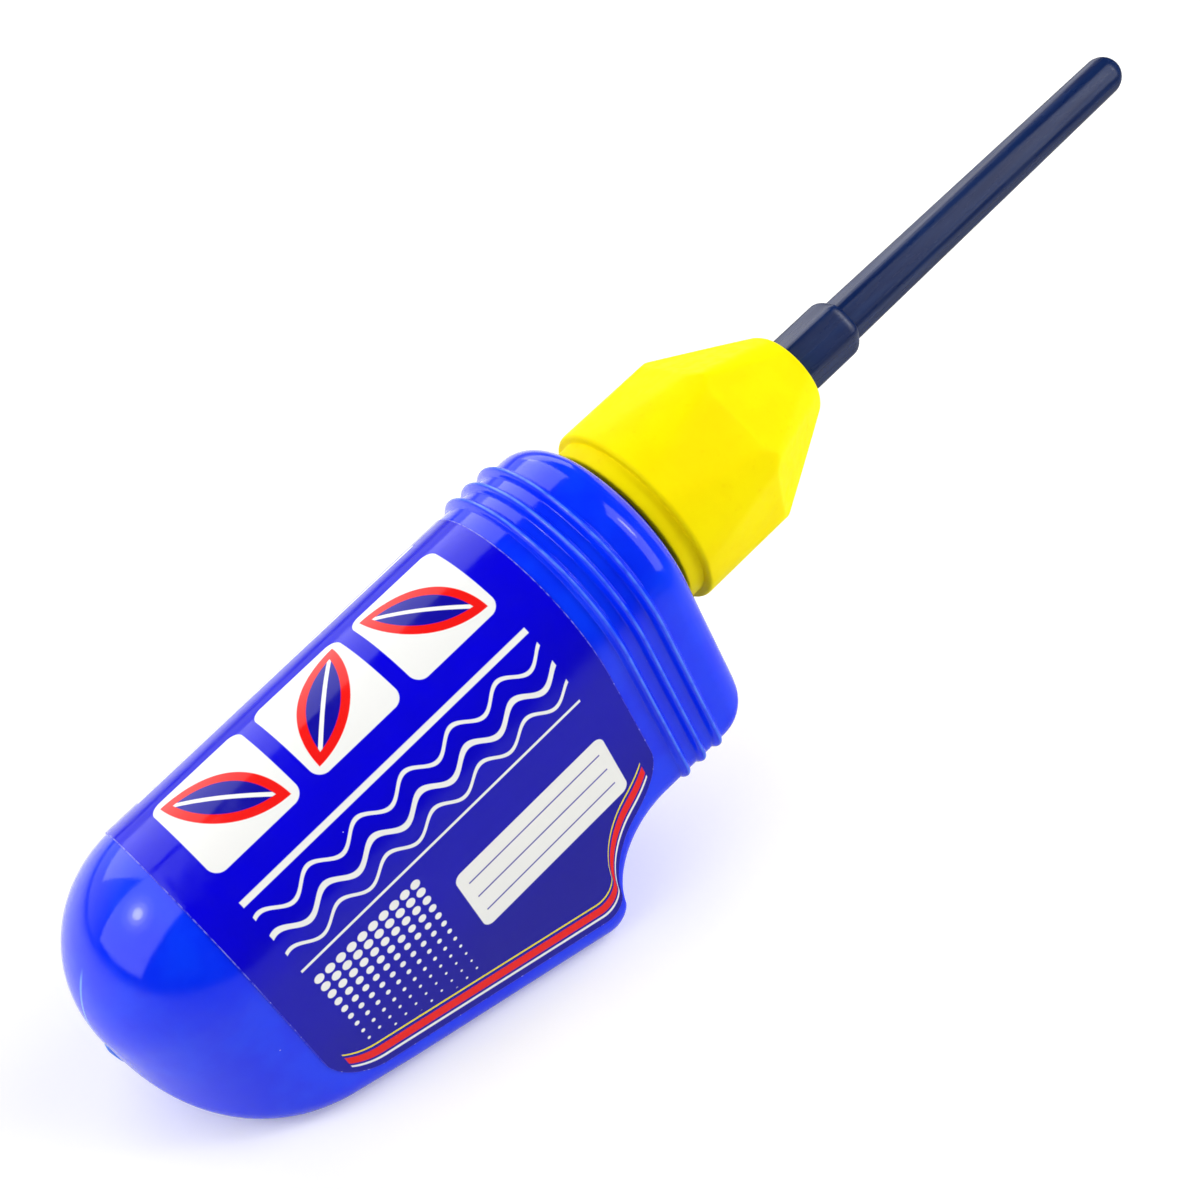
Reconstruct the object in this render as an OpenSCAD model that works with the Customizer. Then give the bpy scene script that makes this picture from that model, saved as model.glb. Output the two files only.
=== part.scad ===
// Squeeze bottle for liquid plastic cement, with a screwed needle nozzle and a pull-off needle cap.
// The bottle stands on a foot that slants to its neck, so the needle points forwards and up.
// +X runs along the foot towards the needle, +Z is up, and Y = 0 is the plane of symmetry.
// Stations along the bottle are measured down the neck axis from the shoulder, heights up from it.

/* [Bottle] */
// Slope of the neck axis above the foot, degrees
neck_tilt = 18; // [16:1:20]
// Length from the shoulder to the end of the dome
body_length = 64.6; // [62:0.1:68]
// Radius of the round top of the section at the shoulder
top_radius_front = 12.35; // [12:0.05:12.6]
// Radius of the round top of the section where the dome starts
top_radius_back = 11.4; // [11:0.1:12]
// Outward slope of the flat sides, degrees
side_flare = 9; // [5:1:11]
// Radius of the edges between the sides and the underside
edge_radius = 2.5; // [2.2:0.1:3]
// Length of the domed end
dome_length = 12.9; // [11:0.1:15]
// Depth of the middle of the domed end below the neck axis
dome_depth = 2.3; // [1:0.1:6]
// Height of the rounding at the shoulder
shoulder_round = 3.5; // [3:0.1:4]
// How far the shoulder's rounding draws the chin in
chin_round = 6; // [5:0.1:6.4]
// Height of the rounding at the chin
chin_height = 4.6; // [3.6:0.1:4.8]
// Thickness of the moulded wall
wall = 1.1; // [0.9:0.1:1.2]

/* [Foot and finger recess] */
// Station where the toe of the foot ends
toe_station = 25; // [24.6:0.1:26]
// Depth of the toe below the neck axis
toe_depth = 26.3; // [25.5:0.1:27]
// Station of the lowest point of the finger recess
recess_station = 12.4; // [12:0.1:13]
// Radius of the finger recess
recess_radius = 9.3; // [9:0.1:9.6]
// Depth of the underside at the finger recess and the chin
chin_depth = 17.2; // [16.6:0.1:17.8]
// Radius of the nose of the toe
toe_round = 2.2; // [1.8:0.1:2.4]

/* [Grip ribs] */
// Number of ribs below the shoulder
rib_count = 3; // [1:1:3]
// Station of the first rib
rib_station = 5.5; // [5.5:0.1:5.9]
// Distance between the ribs
rib_pitch = 2.15; // [1.9:0.05:2.2]
// Height of a rib
rib_height = 0.7; // [0.5:0.05:0.9]
// Half the width of a rib
rib_half_width = 0.5; // [0.45:0.05:0.65]

/* [Label] */
// Station of the label's front edge
label_front = 12; // [11.8:0.1:12.6]
// Station of the label's back edge
label_back = 52.5; // [49:0.1:53]
// Distance of the label's lower edges from the underside
label_margin = 3.6; // [3.2:0.1:5]
// Radius of the label's lower corners
label_corner = 4.5; // [3:0.1:4.8]
// Thickness of the label
label_thickness = 0.12; // [0.1:0.01:0.2]

/* [Neck and thread] */
// Radius of the neck under its thread
neck_radius = 6.9; // [6.8:0.05:7]
// Radius of the neck's bore
neck_bore = 5.4; // [5:0.1:5.6]
// Height of the neck above the shoulder
neck_height = 11; // [10.5:0.1:11.2]
// Rise of the screw thread for one turn
thread_pitch = 3.2; // [3:0.1:3.4]
// Turns of each screw thread
thread_turns = 1.25; // [1:0.05:1.3]
// Thickness of the sealing washer
washer_thickness = 1; // [0.8:0.1:1]

/* [Screw collar] */
// Radius of the collar's round rim
collar_radius = 10.1; // [9.9:0.05:10.3]
// Radius of the narrow band under the rim
band_radius = 9.2; // [9:0.05:9.4]
// Height of the rim above the shoulder
rim_height = 2.4; // [2:0.1:2.8]
// Height where the six flats end and the leaning facets start
facet_height = 13.1; // [12.8:0.1:13.4]
// Height where the cone between the facets starts
cone_height = 14.1; // [13.9:0.1:14.3]
// Height of the collar's flat top
collar_top = 23.95; // [23.6:0.05:24.4]
// Radius of the collar's flat top
collar_top_radius = 4.7; // [4.5:0.05:4.9]
// Distance of the flats from the axis
flat_distance = 9.35; // [9.2:0.05:9.6]
// Turn of the flats about the neck axis, degrees
collar_clock = 6; // [0:1:59]

/* [Needle and cap] */
// Outer diameter of the needle tube
needle_diameter = 0.9; // [0.7:0.1:1.1]
// Bore of the needle tube
needle_bore = 0.6; // [0.4:0.1:0.6]
// Height of the needle's tip
needle_tip = 71; // [66:0.1:72]
// Radius of the spigot that the cap is pushed on
spigot_radius = 1.8; // [1.7:0.05:1.85]
// Length of the spigot
spigot_length = 7.5; // [6:0.1:8]
// Radius across the corners of the cap's grip
cap_grip_radius = 3.3; // [3.2:0.05:3.5]
// Length of the cap's grip
cap_grip_length = 7.95; // [7.6:0.05:8.2]
// Radius of the cap's tube at the grip
cap_tube_radius = 2.4; // [2.35:0.05:2.6]
// Radius of the cap's round tip
cap_tip_radius = 2.1; // [1.9:0.05:2.2]
// Height of the end of the cap
cap_end = 75.3; // [75:0.1:77]

/* [Contents] */
// Height of the cement's level above the foot
cement_level = 25.5; // [20:0.5:34]

/* [Hidden] */
$fn = 64;

// Gap between pieces that lie against each other
fit_gap = 0.05;
// Running gap of the cap on its spigot
cap_gap = 0.05;
// Blunt, superelliptic end of the dome, blunter at the heel, and the depth over which it changes
dome_power = 2.05;
heel_power = 3.2;
heel_reach = 4;
// Edge radius that the foot's edges grow to at the dome
heel_radius = 2.9;
// Stations over which the edge radius grows
heel_start = 44;
heel_end = 56;
// Share of a rib's height that is left on the underside
rib_fade = 0.4;
// Smallest edge radius where the shoulder draws the section in
min_edge = 1.2;
// Height of the middle of the neck's thread where it starts
thread_start = 4.2;
// Height of a thread's ridge, and how far its root is sunk in the wall
thread_rise = 0.8;
thread_sink = 0.3;
// Widths of the root and the crest of the neck's thread, and of the collar's
neck_thread = [1.5, 0.7];
collar_thread = [1.3, 0.6];
// Room for the neck's thread inside the collar
thread_room = 1.1;
// Direction of the flat side's normal, turned from the underside
side_normal = 90 + side_flare;
// Station where the foot's flat ends at the heel
heel_station = 50;
// Angle of the finger recess's arc where the round nose of the toe meets it, and of the nose's arc there
recess_join = 13;
nose_join = 75;
// Angles at which the round nose, the finger recess and the label's corners are sampled
nose_angles = [-neck_tilt, 0, 22, 42, 60, nose_join];
recess_angles = [16, 25, 35, 45, 55];
corner_angles = [0, 20, 40, 60, 75, 90];
// Middle of the round nose: it touches the foot and ends where the finger recess starts
nose_u = -recess_station - recess_radius * cos(recess_join) - toe_round;
nose_d = foot_depth(nose_u) - toe_round / cos(neck_tilt);

// Blends
function clamp01(x) = min(1, max(0, x));
function mix(a, b, k) = a + (b - a) * k;
function smooth(x) = let (c = clamp01(x)) c * c * (3 - 2 * c);

// Section of the bottle at the height u on the neck axis (u is negative below the shoulder)
function top_radius(u) = mix(top_radius_front, top_radius_back, clamp01(-u / (body_length - dome_length)));
function foot_depth(u) = toe_depth + tan(neck_tilt) * (u + toe_station);
function recess_depth(u) =
    let (x = min(0, max(-recess_radius, u + recess_station)))
    chin_depth + recess_radius - sqrt(recess_radius * recess_radius - x * x);
function nose_depth(u) =
    let (x = min(toe_round, u - nose_u))
    nose_d + sqrt(toe_round * toe_round - x * x);
function depth(u) =
    u < nose_u - toe_round * sin(neck_tilt) ? foot_depth(u)
    : u < nose_u + toe_round * sin(nose_join) ? nose_depth(u)
    : recess_depth(u);
function edge(u) = mix(edge_radius, heel_radius, smooth((-u - heel_start) / (heel_end - heel_start)));
function dome_scale(u, inset, power) =
    let (length = dome_length - inset,
         x = clamp01((-u - body_length + dome_length) / length))
    pow(1 - pow(x, power), 1 / power);
function domed(p, u, inset) =
    let (power = mix(dome_power, heel_power, smooth((p[0] - dome_depth) / heel_reach)),
         deep = (p[0] - dome_depth) * dome_scale(u, inset, power))
    [dome_depth + deep, p[1] * dome_scale(u, inset, dome_power), u];
function shoulder_draw(u, inset, height) =
    let (x = clamp01((u + inset + height) / height))
    1 - sqrt(1 - x * x);
function rib_rise(u) =
    max([for (i = [0 : rib_count - 1])
        let (x = (u + rib_station + i * rib_pitch) / rib_half_width)
        abs(x) < 1 ? rib_height * sqrt(1 - x * x) : 0]);

// One corner or top arc, as points [depth, side] about a centre
function arc(centre, r, from, to, steps) =
    [for (i = [0 : steps])
        let (q = mix(from, to, i / steps))
        [centre[0] + r * cos(q), centre[1] + r * sin(q)]];

// Rounded section: a round top on the neck axis, flared sides and an underside with round edges
function section(u, inset, grow, under, top_steps, edge_steps) =
    let (r = top_radius(u) + grow,
         c = max(edge(u) + grow, min_edge),
         d = min(depth(u), depth(u + inset)) + under - c,
         y = (r - c - d * cos(side_normal)) / sin(side_normal))
    concat(arc([d, y], c, 0, side_normal, edge_steps),
           arc([0, 0], r, side_normal, 360 - side_normal, top_steps),
           arc([d, -y], c, -side_normal, 0, edge_steps));

// The section drawn in towards the dome's middle, set at its height
function ring(u, inset, rise, top_steps, edge_steps) =
    let (grow = rise - inset - shoulder_round * shoulder_draw(u, inset, shoulder_round),
         under = rib_fade * rise - inset - chin_round * shoulder_draw(u, inset, chin_height))
    [for (p = section(u, inset, grow, under, top_steps, edge_steps)) domed(p, u, inset)];

// Heights of the rings, from the dome to the shoulder
function dome_heights(inset, angles) =
    [for (q = angles) -body_length + dome_length - (dome_length - inset) * pow(cos(q), 2 / dome_power)];
function steps(from, to, count) = [for (i = [0 : count - 1]) mix(from, to, i / count)];
function rib_heights() =
    [for (i = [rib_count - 1 : -1 : 0], x = [-1, -0.7, 0, 0.7, 1])
        -rib_station - i * rib_pitch + x * rib_half_width];
function shoulder_heights(inset, angles) =
    [for (q = angles) -inset - shoulder_round + shoulder_round * sin(q)];

// A closed skin over a row of rings that have the same number of points; a band's rings are thin
// strips that run out over one face and back under the other
module skin(rings, band = false) {
    n = len(rings[0]);
    last = len(rings) - 1;
    strip = [for (i = [0 : n / 2 - 2], half = [0, 1])
        half == 0 ? [i, i + 1, n - 1 - i] : [i + 1, n - 2 - i, n - 1 - i]];
    start_faces = band ? strip : [[for (i = [0 : n - 1]) i]];
    sides = [for (j = [0 : last - 1], i = [0 : n - 1], half = [0, 1])
        let (a = j * n + i, b = j * n + (i + 1) % n)
        half == 0 ? [a, b + n, b] : [a, a + n, b + n]];
    end_faces = [for (f = start_faces) [for (i = [len(f) - 1 : -1 : 0]) last * n + f[i]]];
    polyhedron(points = [for (r = rings, p = r) p], faces = concat(start_faces, sides, end_faces));
}

// Place of the neck: the foot is flat on Z = 0 with its middle at the origin
function along(u, d) = u * cos(neck_tilt) + d * sin(neck_tilt);
neck_z = toe_station * sin(neck_tilt) + toe_depth * cos(neck_tilt);
neck_x = -(along(-toe_station, toe_depth) + along(-heel_station, foot_depth(-heel_station))) / 2;
module on_neck() {
    translate([neck_x, 0, neck_z]) rotate([0, 90 - neck_tilt, 0]) children();
}

// Helical ridge of trapezoid section on a cylinder; side is 1 for a ridge that points outwards, -1 inwards
module thread_ridge(radius, side, widths, start) {
    per_turn = 40;
    fade_steps = 4;
    fade_floor = 0.1;
    count = round(per_turn * thread_turns);
    low = radius - side * thread_sink;
    root = widths[0] / 2;
    crest = widths[1] / 2;
    order = side > 0 ? [3, 2, 1, 0] : [0, 1, 2, 3];
    rings = [for (i = [0 : count])
        let (q = 360 * i / per_turn,
             z = start + thread_pitch * i / per_turn,
             fade = clamp01(min(i, count - i) / fade_steps),
             top = radius + side * thread_rise * mix(fade_floor, 1, fade),
             corners = [[low, -root], [top, -crest], [top, crest], [low, root]])
        [for (k = order)
            [corners[k][0] * cos(q), corners[k][0] * sin(q), z + corners[k][1]]]];
    skin(rings);
}

// Sampling of the rings: angles on the dome and the shoulder, and steps along the arcs of a section
dome_angles = [3, 9, 16, 24, 33, 43, 54, 66, 78];
shoulder_angles = [0, 15, 30, 45, 60, 75, 90];
top_steps = 28;
edge_steps = 6;
// Distance of the first plain ring from the label's back corners
label_clear = 4;
nose_heights = [for (q = nose_angles) nose_u + toe_round * sin(q)];
recess_heights = [for (q = recess_angles) -recess_station - recess_radius * cos(q)];
corner_steps = [for (q = corner_angles) label_corner * (1 - cos(q))];
label_heights = concat([for (x = corner_steps) x - label_back],
                       steps(label_clear - label_back + label_corner, nose_heights[0], 5),
                       nose_heights,
                       recess_heights,
                       [for (i = [len(corner_steps) - 1 : -1 : 0]) -label_front - corner_steps[i]]);
body_heights = concat(dome_heights(0, dome_angles),
                      [for (u = label_heights) if (u > -body_length + dome_length) u],
                      rib_heights(),
                      [-chin_height],
                      shoulder_heights(0, shoulder_angles));

module outer_skin() {
    skin([for (u = body_heights)
        ring(u, 0, rib_rise(u), top_steps, edge_steps)]);
}

// Space inside the wall, drawn in further by a gap
module inner_skin(gap) {
    inset = wall + gap;
    heights = concat(dome_heights(inset, [4, 14, 26, 40, 56, 74]),
                     steps(-body_length + dome_length, nose_heights[0] - inset, 5),
                     [for (u = concat(nose_heights, recess_heights)) u - inset],
                     steps(recess_heights[4], -recess_station, 3),
                     [-recess_station],
                     shoulder_heights(inset, [0, 30, 60, 90]));
    skin([for (u = heights) ring(u, inset, 0, 20, 4)]);
}

// Blow-moulded squeeze bottle with its screw neck
module bottle_body() {
    root_sink = 1.5;
    color("mediumblue") on_neck() difference() {
        union() {
            outer_skin();
            translate([0, 0, -root_sink]) cylinder(r = neck_radius, h = neck_height + root_sink);
            thread_ridge(neck_radius, 1, neck_thread, thread_start);
        }
        inner_skin(0);
        translate([0, 0, -2 * root_sink]) cylinder(r = neck_bore, h = neck_height + 3 * root_sink);
    }
}

// Depth of the label's lower edge, with its corners rounded
function corner_rise(x) =
    x >= label_corner ? 0 : label_corner - sqrt(pow(label_corner, 2) - pow(label_corner - max(0, x), 2));
function label_depth(u) =
    depth(u) - label_margin - corner_rise(u + label_back) - corner_rise(-label_front - u);
function label_strip(u, grow) =
    let (r = top_radius(u) + grow,
         low = label_depth(u),
         side = (r - low * cos(side_normal)) / sin(side_normal))
    concat([[low, side]], arc([0, 0], r, side_normal, 360 - side_normal, top_steps), [[low, -side]]);
function label_ring(u) =
    let (under = label_strip(u, fit_gap),
         over = label_strip(u, fit_gap + label_thickness),
         n = len(under))
    [for (p = concat(over, [for (i = [n - 1 : -1 : 0]) under[i]])) domed(p, u, 0)];

// Printed film over the top and both sides
module wrap_label() {
    color("navy") on_neck() skin([for (u = label_heights) label_ring(u)], band = true);
}

// Liquid cement with a level top
module cement() {
    reach = 200;
    color("lightyellow") intersection() {
        on_neck() inner_skin(fit_gap);
        translate([-reach / 2, -reach / 2, 0]) cube([reach, reach, cement_level]);
    }
}

washer_base = neck_height + fit_gap;
deck_height = washer_base + washer_thickness + fit_gap;
collar_bore = neck_radius + thread_room;

// Soft ring between the neck's rim and the collar
module sealing_washer() {
    washer_room = 0.3;
    color("whitesmoke") on_neck() translate([0, 0, washer_base]) difference() {
        cylinder(r = collar_bore - washer_room, h = washer_thickness);
        translate([0, 0, -1]) cylinder(r = neck_bore, h = washer_thickness + 2);
    }
}

// Space cut away on six sides: flats that run out into the rim, with leaning facets above them
module collar_cuts() {
    rim_thickness = 0.6;
    run_out = 4.5;
    facet_inset = 0.05;
    margin = 1;
    size = 2 * collar_radius;
    rim_top = rim_height + rim_thickness;
    facet_top = collar_top_radius - facet_inset;
    slope = (collar_radius - flat_distance) / run_out;
    lean = (flat_distance - facet_top) / (collar_top - facet_height);
    outline = [[collar_radius + slope * margin, rim_top - margin], [flat_distance, rim_top + run_out],
               [flat_distance, facet_height], [facet_top - lean * margin, collar_top + margin],
               [size, collar_top + margin], [size, rim_top - margin]];
    for (i = [0 : 5]) rotate([90, 0, collar_clock + 30 + 60 * i])
        linear_extrude(size, center = true) polygon(outline);
}

// Screw collar with the spigot that holds the needle
module screw_collar() {
    base = 0.5;
    draft = 0.15;
    well_radius = 5.8;
    well_top = collar_top - 3.5;
    passage = 1.2;
    spigot_end = collar_top + spigot_length;
    outline = [[0, base], [band_radius, base], [band_radius, rim_height], [collar_radius, rim_height],
               [collar_radius, cone_height], [collar_top_radius, collar_top],
               [spigot_radius, collar_top], [spigot_radius - draft, spigot_end], [0, spigot_end]];
    hollow = [[0, base - 1], [collar_bore, base - 1], [collar_bore, deck_height],
              [well_radius, deck_height], [passage, well_top], [0, well_top]];
    color("gold") on_neck() union() {
        difference() {
            rotate_extrude() polygon(outline);
            collar_cuts();
            rotate_extrude() polygon(hollow);
            cylinder(d = needle_diameter, h = spigot_end + 1);
        }
        thread_ridge(collar_bore, -1, collar_thread, thread_start + thread_pitch / 2);
    }
}

// Blunt steel tube pressed into the spigot
module needle_tube() {
    needle_base = collar_top - 2.5;
    color("silver") on_neck() translate([0, 0, needle_base]) difference() {
        cylinder(d = needle_diameter, h = needle_tip - needle_base, $fn = 32);
        translate([0, 0, -1]) cylinder(d = needle_bore, h = needle_tip - needle_base + 2, $fn = 32);
    }
}

// Hollow cap with a six-sided grip and a slim tube
module needle_cap() {
    base = collar_top + 2 * cap_gap;
    grip_top = base + cap_grip_length;
    corner_cut = 0.1;
    top_round = 1.2;
    tip_centre = cap_end - cap_tip_radius;
    tip_wall = 2.2;
    end_room = 0.3;
    socket_radius = spigot_radius + cap_gap;
    socket_end = collar_top + spigot_length + end_room;
    bore_radius = 1.1;
    bore_end = cap_end - tip_wall;
    core_radius = cap_grip_radius * cos(30) - corner_cut;
    grip_radius = cap_grip_radius - corner_cut;
    shoulder = [for (q = [0 : 18 : 90])
        [mix(cap_tube_radius, grip_radius, cos(q)), grip_top - top_round * (1 - sin(q))]];
    tip = [for (q = [0 : 15 : 90]) [cap_tip_radius * cos(q), tip_centre + cap_tip_radius * sin(q)]];
    outline = concat([[0, base], [grip_radius, base]], shoulder, tip);
    hollow = [[0, base - 1], [socket_radius, base - 1], [socket_radius, socket_end],
              [bore_radius, socket_end + 1], [bore_radius, bore_end], [0, bore_end]];
    color("midnightblue") on_neck() difference() {
        intersection() {
            rotate_extrude() polygon(outline);
            union() {
                rotate([0, 0, collar_clock]) linear_extrude(grip_top) circle(r = cap_grip_radius, $fn = 6);
                cylinder(r = core_radius, h = cap_end + 1);
            }
        }
        rotate_extrude() polygon(hollow);
    }
}

bottle_body();
wrap_label();
cement();
sealing_washer();
screw_collar();
needle_tube();
needle_cap();
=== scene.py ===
import math

import bmesh
import bpy
import numpy as np
from mathutils import Matrix, Quaternion, Vector

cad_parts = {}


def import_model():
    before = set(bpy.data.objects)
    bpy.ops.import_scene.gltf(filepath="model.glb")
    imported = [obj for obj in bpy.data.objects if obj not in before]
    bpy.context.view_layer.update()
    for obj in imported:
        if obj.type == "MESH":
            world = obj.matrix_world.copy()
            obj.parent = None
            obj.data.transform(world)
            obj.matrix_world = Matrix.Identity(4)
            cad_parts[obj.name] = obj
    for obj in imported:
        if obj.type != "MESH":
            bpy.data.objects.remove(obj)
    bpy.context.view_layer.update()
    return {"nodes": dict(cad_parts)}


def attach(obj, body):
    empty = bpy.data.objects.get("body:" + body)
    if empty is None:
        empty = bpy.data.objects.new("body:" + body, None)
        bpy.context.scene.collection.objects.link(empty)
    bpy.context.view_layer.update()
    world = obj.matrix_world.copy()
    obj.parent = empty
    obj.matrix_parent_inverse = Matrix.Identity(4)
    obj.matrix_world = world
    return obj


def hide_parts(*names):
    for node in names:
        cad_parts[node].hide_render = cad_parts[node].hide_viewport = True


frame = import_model()

# Sizes in millimetres: heights run up the neck axis from the shoulder, depths across it towards the foot.
# A RING is the radius at which a profile starts or ends, on a flat face.

# Bottle
NECK_PLACE = (28.792544, 0.0, 32.738211)
TILT = math.radians(18)
BODY_LENGTH = 64.575
TOP_FRONT = 12.35
TOP_BACK = 11.4
SIDE_NORMAL = math.radians(99)
EDGE_RADIUS = 2.5
HEEL_RADIUS = 2.9
HEEL_START = 44.0
HEEL_END = 56.0
MIN_EDGE = 1.2
DOME_LENGTH = 12.9
DOME_DEPTH = 2.3
DOME_POWER = 2.05
HEEL_POWER = 3.2
HEEL_REACH = 4.0
SHOULDER_ROUND = 3.5
CHIN_ROUND = 6.0
CHIN_HEIGHT = 4.6
WALL = 1.1
TOE_STATION = 25.0
TOE_DEPTH = 26.3
TOE_ROUND = 2.2
RECESS_STATION = 12.4
RECESS_RADIUS = 9.3
RECESS_JOIN = math.radians(13)
RECESS_START = 1.3 * RECESS_JOIN
NOSE_JOIN = math.radians(75)
CHIN_DEPTH = 17.2
RIB_STATIONS = (5.5, 7.65, 9.8)
RIB_HEIGHT = 0.695
RIB_HALF = 0.52
RIB_FILLET = 0.3
RIB_FADE = 0.4
RIB_STEP = 0.07

# Label
LABEL_FRONT = 12.0
LABEL_BACK = 52.5
LABEL_MARGIN = 3.6
LABEL_CORNER = 4.5
LABEL_GAP = 0.02
LABEL_THICKNESS = 0.10
LABEL_BORDER = 0.10

# Pinch-off seam, with points [side, share of its rise] of half its section
SEAM_RISE = 0.28
SEAM_LENGTH = 7.0
SEAM_FADE = 2.0
SEAM_SINK = 0.25
SEAM_HALF = ((-0.24, -0.25), (-0.15, 0.05), (-0.09, 0.8))

# Neck and threads, with half the width of a ridge at its foot and its crest
DECK_RING = 7.9
INNER_RING = 6.4
NECK_RADIUS = 6.9
NECK_BORE = 5.4
NECK_HEIGHT = 11.0
THREAD_PITCH = 3.2
THREAD_TURNS = 1.25
THREAD_START = 4.2
THREAD_RISE = 0.8
THREAD_FADE = 0.1
NECK_RIDGE = (0.75, 0.35)
COLLAR_RIDGE = (0.65, 0.3)

# Collar
COLLAR_BASE = 0.5
COLLAR_RADIUS = 10.1
COLLAR_BORE = 8.0
COLLAR_DECK = 12.1
BAND_RADIUS = 9.2
FOOT_RING = (COLLAR_BORE + BAND_RADIUS) / 2
RIM_HEIGHT = 2.4
FACET_HEIGHT = 13.1
CONE_HEIGHT = 14.1
COLLAR_TOP = 23.95
COLLAR_TOP_RADIUS = 4.7
COLLAR_TOP_EDGE = 0.6
FLAT_DISTANCE = 9.35
FLAT_MARGIN = 0.05
FLAT_SOFTNESS = 0.2
RIDGE_SOFTNESS = 0.06
FLAT_NORMAL = math.radians(36)
SPIGOT_RADIUS = 1.8
SPIGOT_DRAFT = 0.15
SPIGOT_END = 31.45
WELL_RADIUS = 5.8
WELL_TOP = 20.45
PASSAGE = 1.2

# Needle
NEEDLE_RADIUS = 0.45
NEEDLE_BORE = 0.3
NEEDLE_RING = 0.37
NEEDLE_FIT = 0.01
NEEDLE_BASE = 21.45
NEEDLE_TIP = 71.0

# Cap
CAP_BASE = 24.05
CAP_RING = 2.4
GRIP_TOP = 32.0
GRIP_ROUND = 1.2
GRIP_CORNER = 3.2
GRIP_FLAT = 2.86
GRIP_SOFTNESS = 0.16
TUBE_RADIUS = 2.4
TUBE_FLAT = 0.93
TUBE_SOFTNESS = 0.10
TIP_RADIUS = 2.09
CAP_END = 75.285
SOCKET_RADIUS = 1.85
SOCKET_END = 31.75
SOCKET_CONE = 1.0
CAP_BORE = 1.1
CAP_BORE_END = 73.1
CAP_BORE_RING = 0.3

# Units, a length too small to see, and the neck's axis
MM = 0.001
HAIR = 0.01
ROUND = 2 * math.pi
NECK_TURN = np.array(Matrix.Rotation(math.pi / 2 - TILT, 3, "Y"))
SHOULDER_PLACE = float(np.dot(NECK_PLACE, NECK_TURN[:, 2]))


# Blends

def clamp01(x):
    return min(1.0, max(0.0, x))


def mix(a, b, share):
    return a + (b - a) * share


def smooth(x):
    x = np.clip(x, 0.0, 1.0)
    return x * x * (3 - 2 * x)


def soft_min(a, b, width):
    """The smaller of two values, with the corner between them rounded over a width."""
    share = np.clip(0.5 + 0.5 * (b - a) / width, 0.0, 1.0)
    return mix(b, a, share) - width * share * (1 - share)


# Outline of the bottle at a height on the neck axis

NOSE_U = -RECESS_STATION - RECESS_RADIUS * math.cos(RECESS_JOIN) - TOE_ROUND


def foot_depth(u):
    return TOE_DEPTH + math.tan(TILT) * (u + TOE_STATION)


NOSE_D = foot_depth(NOSE_U) - TOE_ROUND / math.cos(TILT)


def depth(u):
    """Depth of the underside: the flat foot, the toe's round nose, then the finger recess and the chin."""
    if u < NOSE_U - TOE_ROUND * math.sin(TILT):
        return foot_depth(u)
    if u < NOSE_U + TOE_ROUND * math.sin(NOSE_JOIN):
        return NOSE_D + math.sqrt(TOE_ROUND ** 2 - min(TOE_ROUND, u - NOSE_U) ** 2)
    x = min(0.0, max(-RECESS_RADIUS, u + RECESS_STATION))
    return CHIN_DEPTH + RECESS_RADIUS - math.sqrt(RECESS_RADIUS ** 2 - x * x)


def top_radius(u):
    return mix(TOP_FRONT, TOP_BACK, clamp01(-u / (BODY_LENGTH - DOME_LENGTH)))


def edge_radius(u):
    return mix(EDGE_RADIUS, HEEL_RADIUS, float(smooth((-u - HEEL_START) / (HEEL_END - HEEL_START))))


def domed(points, u, inset):
    """Points [depth, side] drawn in towards the middle of the domed end, which is blunter at the heel."""
    x = clamp01((-u - BODY_LENGTH + DOME_LENGTH) / (DOME_LENGTH - inset))
    power = mix(DOME_POWER, HEEL_POWER, smooth((points[:, 0] - DOME_DEPTH) / HEEL_REACH))
    deep = DOME_DEPTH + (points[:, 0] - DOME_DEPTH) * (1 - x ** power) ** (1 / power)
    wide = points[:, 1] * (1 - x ** DOME_POWER) ** (1 / DOME_POWER)
    return np.column_stack((deep, wide, np.full(len(points), u)))


def shoulder_draw(u, inset, height):
    x = clamp01((u + inset + height) / height)
    return 1 - math.sqrt(1 - x * x)


def rib_rise(u):
    """Height of the ribs: round ridges on a smooth band, with small fillets at their feet."""
    x = min(abs(u + station) for station in RIB_STATIONS) / RIB_HALF
    return -RIB_HEIGHT * float(soft_min(0.0, x * x - 1, RIB_FILLET))


def line(start, end, count):
    share = np.linspace(0, 1, count + 1)[:, None]
    return np.array(start) * (1 - share) + np.array(end) * share


def arc(centre, radius, start, end, count):
    angle = np.linspace(start, end, count + 1)
    return np.array(centre) + radius * np.column_stack((np.cos(angle), np.sin(angle)))


def body_ring(u, inset=0.0, rise=0.0):
    """Closed ring of points [depth, side, height] that starts at the middle of the underside."""
    grow = rise - inset - SHOULDER_ROUND * shoulder_draw(u, inset, SHOULDER_ROUND)
    under = RIB_FADE * rise - inset - CHIN_ROUND * shoulder_draw(u, inset, CHIN_HEIGHT)
    r = top_radius(u) + grow
    c = max(edge_radius(u) + grow, MIN_EDGE)
    d = min(depth(u), depth(u + inset)) + under - c
    normal = np.array((math.cos(SIDE_NORMAL), math.sin(SIDE_NORMAL)))
    y = (r - c - d * normal[0]) / normal[1]
    half = np.vstack((
        line((d + c, 0), (d + c, y), 10)[:-1],
        arc((d, y), c, 0, SIDE_NORMAL, 12)[:-1],
        line((d, y) + c * normal, r * normal, 14)[:-1],
        arc((0, 0), r, SIDE_NORMAL, math.pi, 36),
    ))
    return domed(np.vstack((half, half[-2:0:-1] * (1, -1))), u, inset)


def dome_heights(inset, count):
    angles = np.radians(np.linspace(2, 90, count))
    return -BODY_LENGTH + DOME_LENGTH - (DOME_LENGTH - inset) * np.cos(angles) ** (2 / DOME_POWER)


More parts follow.
